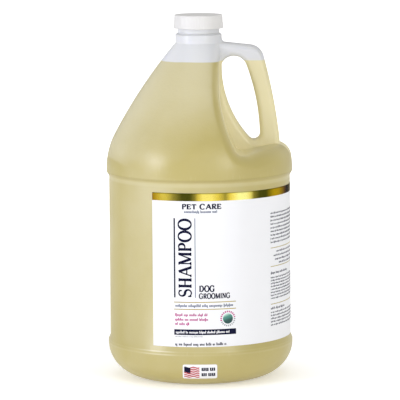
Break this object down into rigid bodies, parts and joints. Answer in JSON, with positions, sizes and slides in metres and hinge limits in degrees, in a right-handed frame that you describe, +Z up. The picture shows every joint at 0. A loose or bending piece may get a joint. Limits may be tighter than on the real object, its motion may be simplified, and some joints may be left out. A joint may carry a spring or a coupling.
{
  "type": "shampoo bottle",
  "caption": "Gallon round jug of translucent plastic with a moulded side grip, screw cap, wrap label and a fill of shampoo.",
  "frame": {"origin": "centre of the standing ring under the base, on the surface the jug stands on", "axes": "+Z up along the neck, +X towards the grip, -Y towards the front of the label"},
  "size_m": [0.1542, 0.1542, 0.301],
  "materials": {
    "jug_plastic": "translucent, soft satin",
    "shampoo_fill": "clear yellow liquid",
    "cap_shell": "satin with fine ribs",
    "cap_liner": "matt foam",
    "label_film": "printed film",
    "foil_band": "gold foil",
    "origin_sticker": "printed film"
  },
  "bodies": {
    "bottle": {"jug_body": "jug_plastic", "jug_shoulder": "jug_plastic", "jug_grip": "jug_plastic", "jug_neck": "jug_plastic", "shampoo_fill": "shampoo_fill", "label_film": "label_film", "foil_band": "foil_band", "origin_sticker": "origin_sticker"},
    "cap_liner": {"cap_liner": "cap_liner"},
    "cap": {"cap_shell": "cap_shell"}
  },
  "joints": [
    {"name": "cap_lift", "type": "slide", "parent": "bottle", "child": "cap_liner", "axis": [0, 0, 1], "range_m": [0, 0.0149]},
    {"name": "cap_turn", "type": "hinge", "parent": "cap_liner", "child": "cap", "pos_m": [0, 0, 0.295], "axis": [0, 0, 1], "range_deg": [0, 1260]}
  ],
  "couplings": [
    {"joint": "cap_lift", "follows": "cap_turn", "m_per_rad": 0.00067375}
  ]
}
